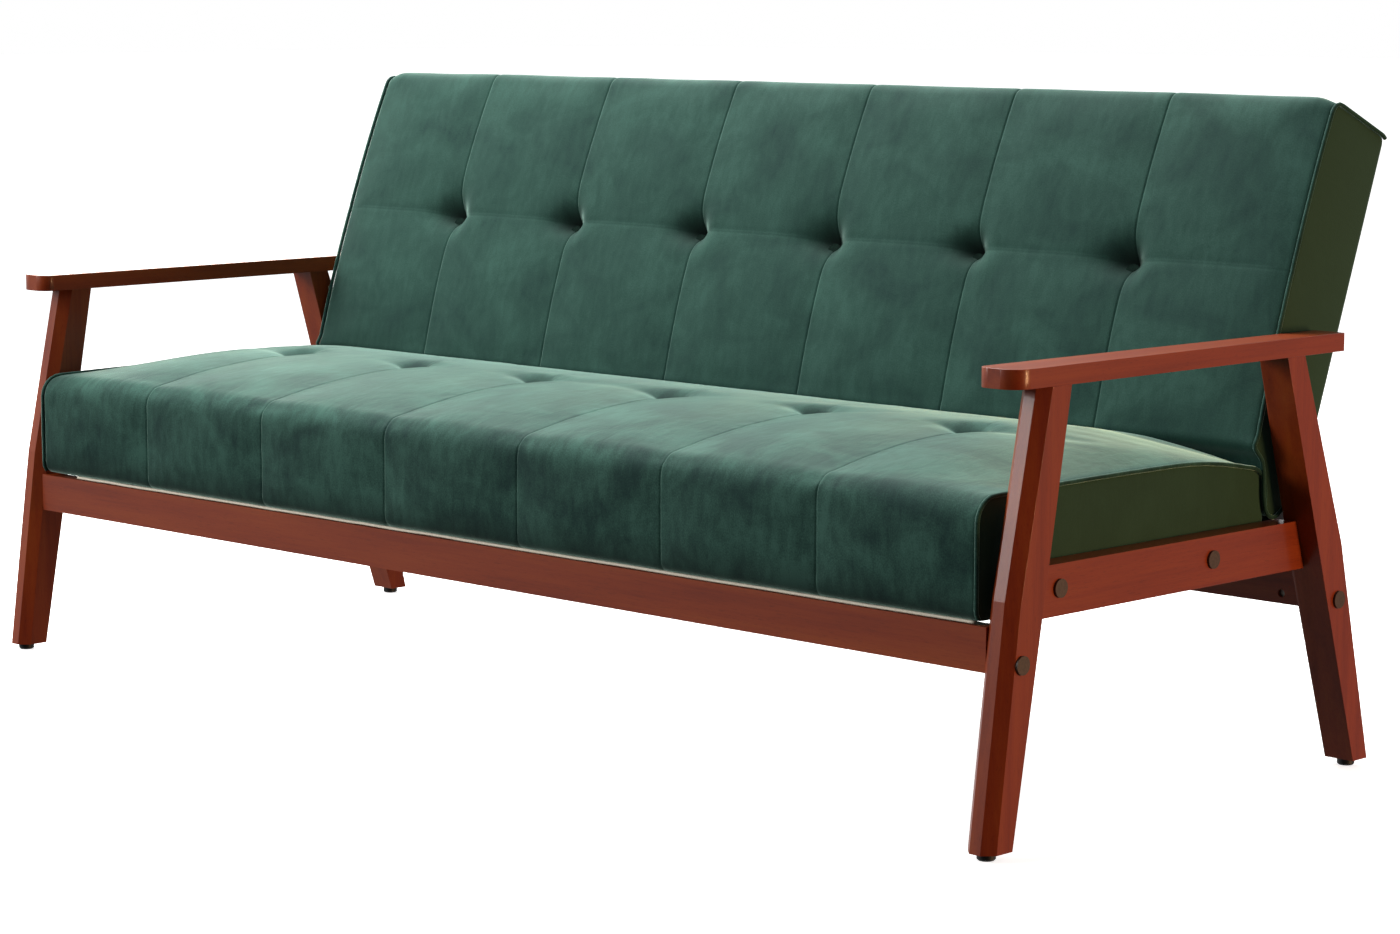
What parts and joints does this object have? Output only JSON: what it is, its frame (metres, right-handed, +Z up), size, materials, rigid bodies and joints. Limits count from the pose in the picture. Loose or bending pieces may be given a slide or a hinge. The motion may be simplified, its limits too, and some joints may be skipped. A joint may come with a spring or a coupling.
{
  "type": "futon sofa bed",
  "caption": "Sofa bed with wooden arms and raked legs, one long tufted seat, and a back on ratchet hinges that folds down flat behind it.",
  "frame": {"origin": "on the floor, under the middle of the bounding box, with the back locked up", "axes": "+X along the sofa to the right of someone facing it, +Y from its front to its back, +Z up"},
  "size_m": [1.876, 0.8236, 0.8334],
  "materials": {
    "stained_wood": "gloss",
    "bare_wood": "satin",
    "black_plastic": "matte",
    "glide_plastic": "matte",
    "cap_plastic": "satin",
    "velvet": "satin",
    "foam": "matte",
    "lining": "matte",
    "black_steel": "satin",
    "zinc_steel": "satin"
  },
  "bodies": {
    "base": {"armrest_left": "stained_wood", "armrest_right": "stained_wood", "front_leg_left": "stained_wood", "front_leg_right": "stained_wood", "rear_leg_left": "stained_wood", "rear_leg_right": "stained_wood", "side_rail_left": "stained_wood", "side_rail_right": "stained_wood", "front_rail": "stained_wood", "rear_rail": "stained_wood", "foot_glides": "glide_plastic", "arm_dowels": "bare_wood", "rail_dowels": "bare_wood", "cross_bolts": "zinc_steel", "barrel_nuts": "zinc_steel", "seat_bolts": "zinc_steel", "bolt_caps": "cap_plastic", "seat_cover": "velvet", "seat_foam": "foam", "seat_tuft_buttons": "velvet", "seat_frame": "black_steel", "seat_slats": "bare_wood", "seat_slat_holders": "black_plastic", "seat_dust_cover": "lining", "hinge_seat_arm_left": "black_steel", "hinge_seat_arm_right": "black_steel", "hinge_pivot_left": "zinc_steel", "hinge_pivot_right": "zinc_steel", "hinge_bolts_seat": "zinc_steel"},
    "back": {"back_cover": "velvet", "back_foam": "foam", "back_tuft_buttons": "velvet", "back_frame": "black_steel", "back_slats": "bare_wood", "back_slat_holders": "black_plastic", "hinge_back_arm_left": "black_steel", "hinge_back_arm_right": "black_steel", "hinge_bolts_back": "zinc_steel"}
  },
  "joints": [
    {"name": "back_recline", "type": "hinge", "parent": "base", "child": "back", "pos_m": [0, 0.21716, 0.295], "axis": [-1, 0, 0], "range_deg": [0, 70]}
  ]
}
